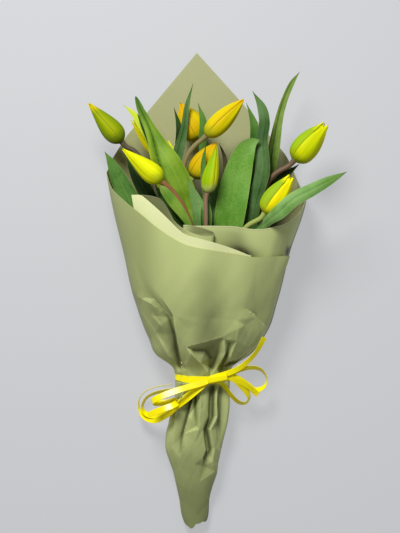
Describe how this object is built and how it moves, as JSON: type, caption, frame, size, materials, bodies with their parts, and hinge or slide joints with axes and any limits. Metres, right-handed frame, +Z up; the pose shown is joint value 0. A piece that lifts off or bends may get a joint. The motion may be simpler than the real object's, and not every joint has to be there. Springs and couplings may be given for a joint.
{
  "type": "bunch of tulips",
  "caption": "Hand-tied bunch of yellow tulips in bud, wrapped in sage green paper and tied with curling yellow ribbon, lying on its back.",
  "frame": {"origin": "under the middle of the bunch, on the surface that it lies on", "axes": "+Y along the bunch from the cut ends to the flowers, +Z up and out of the front of the bunch, +X to the right as it is looked down on"},
  "size_m": [0.2565, 0.478, 0.1065],
  "materials": {
    "wrap_paper": "matt kraft paper, sage green outside and pale green inside",
    "ribbon": "glossy curling ribbon",
    "petal_yellow": "silky petal",
    "petal_green": "silky petal, still green",
    "petal_orange": "silky petal, flushed orange",
    "leaf_dark": "waxy leaf with fine ribs along it",
    "leaf_light": "waxy leaf with fine ribs along it",
    "stem_green": "smooth stem",
    "stem_red": "smooth stem, flushed red brown"
  },
  "bodies": {
    "root": {"wrap_paper": "wrap_paper", "stem_01": "stem_red", "bloom_01": "petal_green", "stem_02": "stem_red", "bloom_02": "petal_yellow", "stem_03": "stem_red", "bloom_03": "petal_yellow", "stem_04": "stem_green", "bloom_04": "petal_yellow", "stem_05": "stem_green", "bloom_05": "petal_orange", "stem_06": "stem_green", "bloom_06": "petal_orange", "stem_07": "stem_red", "bloom_07": "petal_green", "stem_08": "stem_red", "bloom_08": "petal_yellow", "stem_09": "stem_green", "bloom_09": "petal_yellow", "stem_10": "stem_red", "bloom_10": "petal_green", "leaf_01": "leaf_dark", "leaf_02": "leaf_dark", "leaf_03": "leaf_light", "leaf_04": "leaf_light", "leaf_05": "leaf_dark", "leaf_06": "leaf_dark", "leaf_07": "leaf_light", "leaf_08": "leaf_dark", "leaf_09": "leaf_dark", "leaf_10": "leaf_dark", "leaf_11": "leaf_light", "leaf_12": "leaf_light", "leaf_13": "leaf_light", "leaf_14": "leaf_dark", "leaf_15": "leaf_dark", "leaf_16": "leaf_dark", "ribbon": "ribbon"}
  },
  "joints": []
}
